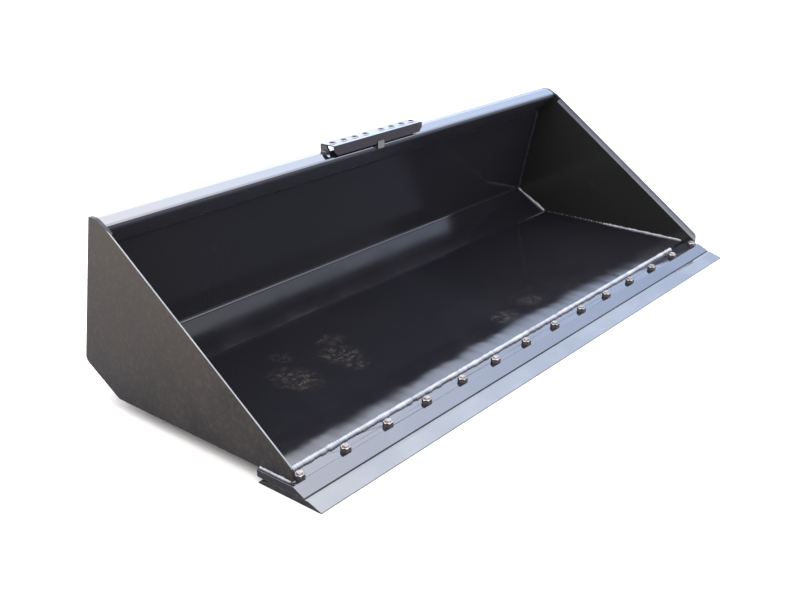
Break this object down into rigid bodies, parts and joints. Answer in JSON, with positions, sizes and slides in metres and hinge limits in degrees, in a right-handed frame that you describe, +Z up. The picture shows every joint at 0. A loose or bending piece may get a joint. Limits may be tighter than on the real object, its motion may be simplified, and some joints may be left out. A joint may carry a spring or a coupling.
{
  "type": "skid steer bucket",
  "caption": "Low-profile loader bucket with bolt-on reversible cutting edge, side plates, tubular top rail, step and rear quick-attach frame.",
  "frame": {"origin": "centre of the bounding box at the level of the surface it stands on", "axes": "+X across the bucket to its right seen from the front, +Y from the cutting edge to the quick-attach frame, +Z up"},
  "size_m": [2.052, 0.944, 0.55],
  "materials": {
    "black_paint": "glossy near-black enamel with dust and light scratches",
    "base_edge_paint": "thin glossy dark paint over rolled steel",
    "cutting_edge_paint": "thin glossy dark paint over rolled wear steel",
    "zinc_plate": "dull zinc plate, slightly tan"
  },
  "bodies": {
    "root": {"shell": "black_paint", "side_plate_left": "black_paint", "side_plate_right": "black_paint", "top_tube": "black_paint", "base_edge": "base_edge_paint", "cutting_edge": "cutting_edge_paint", "plow_bolts": "zinc_plate", "edge_nuts": "zinc_plate", "step_tread": "black_paint", "step_leg_left": "black_paint", "step_leg_right": "black_paint", "step_tab": "black_paint", "attach_plate": "black_paint", "attach_hook": "black_paint", "attach_end_left": "black_paint", "attach_end_right": "black_paint", "attach_flange": "black_paint", "flange_gusset_1": "black_paint", "flange_gusset_2": "black_paint", "flange_gusset_3": "black_paint", "flange_gusset_4": "black_paint", "back_rib_left": "black_paint", "back_rib_right": "black_paint", "runner_1": "black_paint", "runner_2": "black_paint", "runner_3": "black_paint", "runner_4": "black_paint"}
  },
  "joints": []
}
